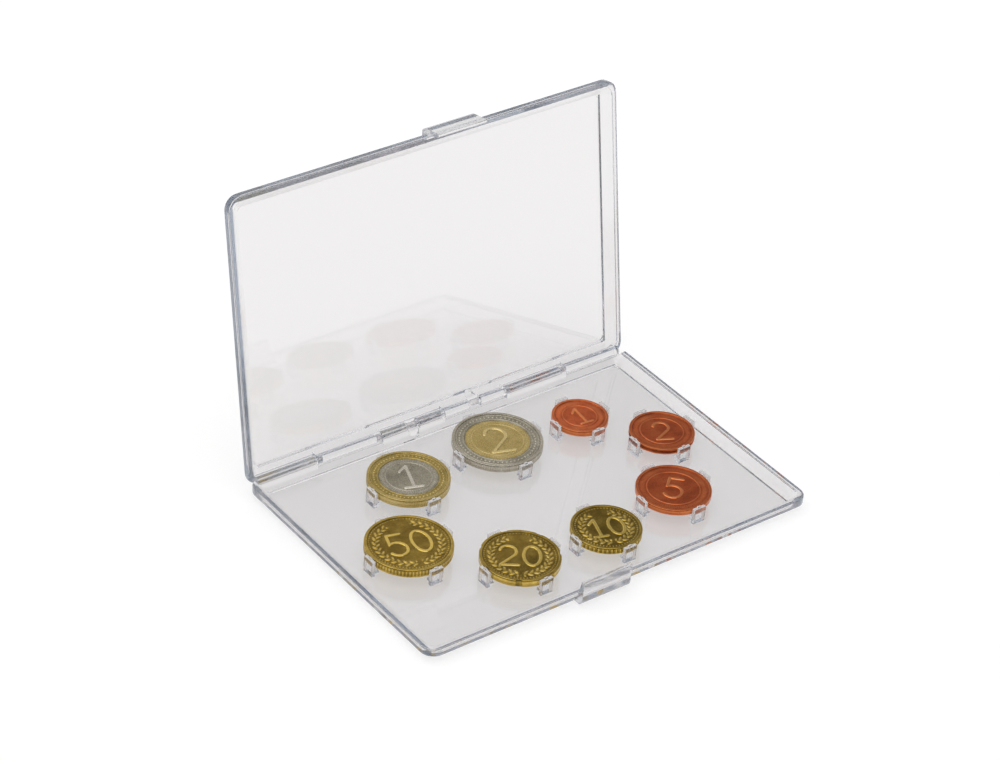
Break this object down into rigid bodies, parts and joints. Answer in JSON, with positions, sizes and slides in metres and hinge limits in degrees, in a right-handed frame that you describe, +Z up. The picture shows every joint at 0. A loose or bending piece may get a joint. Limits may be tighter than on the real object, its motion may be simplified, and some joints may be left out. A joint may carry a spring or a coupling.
{
  "type": "coin display case",
  "caption": "Flat clear plastic coin display case with a hinged lid, thumb tabs and moulded clips that hold coins of several sizes above its floor.",
  "frame": {"origin": "centre of the flat underside of the base", "axes": "+X along the hinge, to the right seen from the front; +Y towards the hinge; +Z up"},
  "size_m": [0.1296, 0.105, 0.0901],
  "materials": {
    "clear_plastic": "clear polystyrene, polished",
    "gold_alloy": "struck metal, satin",
    "copper_plate": "copper-plated steel, satin",
    "pale_gold_alloy": "struck metal, satin",
    "silver_alloy": "struck metal, satin"
  },
  "bodies": {
    "base": {"base_tray": "clear_plastic"},
    "cover": {"lid": "clear_plastic"},
    "coin_fifty": {"coin_50": "gold_alloy"},
    "coin_twenty": {"coin_20": "gold_alloy"},
    "coin_ten": {"coin_10": "gold_alloy"},
    "coin_five": {"coin_5": "copper_plate"},
    "coin_two_small": {"coin_2": "copper_plate"},
    "coin_one_small": {"coin_1": "copper_plate"},
    "bimetal_one": {"bimetal_one_ring": "pale_gold_alloy", "bimetal_one_core": "silver_alloy"},
    "bimetal_two": {"bimetal_two_ring": "silver_alloy", "bimetal_two_core": "pale_gold_alloy"}
  },
  "joints": [
    {"name": "lid_hinge", "type": "hinge", "parent": "base", "child": "cover", "pos_m": [0, 0.0415, 0.00435], "axis": [-1, 0, 0], "range_deg": [-100, 0]},
    {"name": "lift_50", "type": "slide", "parent": "base", "child": "coin_fifty", "axis": [0, 0, 1], "range_m": [0, 0.012]},
    {"name": "lift_20", "type": "slide", "parent": "base", "child": "coin_twenty", "axis": [0, 0, 1], "range_m": [0, 0.012]},
    {"name": "lift_10", "type": "slide", "parent": "base", "child": "coin_ten", "axis": [0, 0, 1], "range_m": [0, 0.012]},
    {"name": "lift_5", "type": "slide", "parent": "base", "child": "coin_five", "axis": [0, 0, 1], "range_m": [0, 0.012]},
    {"name": "lift_2", "type": "slide", "parent": "base", "child": "coin_two_small", "axis": [0, 0, 1], "range_m": [0, 0.012]},
    {"name": "lift_1", "type": "slide", "parent": "base", "child": "coin_one_small", "axis": [0, 0, 1], "range_m": [0, 0.012]},
    {"name": "lift_bimetal_one", "type": "slide", "parent": "base", "child": "bimetal_one", "axis": [0, 0, 1], "range_m": [0, 0.012]},
    {"name": "lift_bimetal_two", "type": "slide", "parent": "base", "child": "bimetal_two", "axis": [0, 0, 1], "range_m": [0, 0.012]}
  ]
}
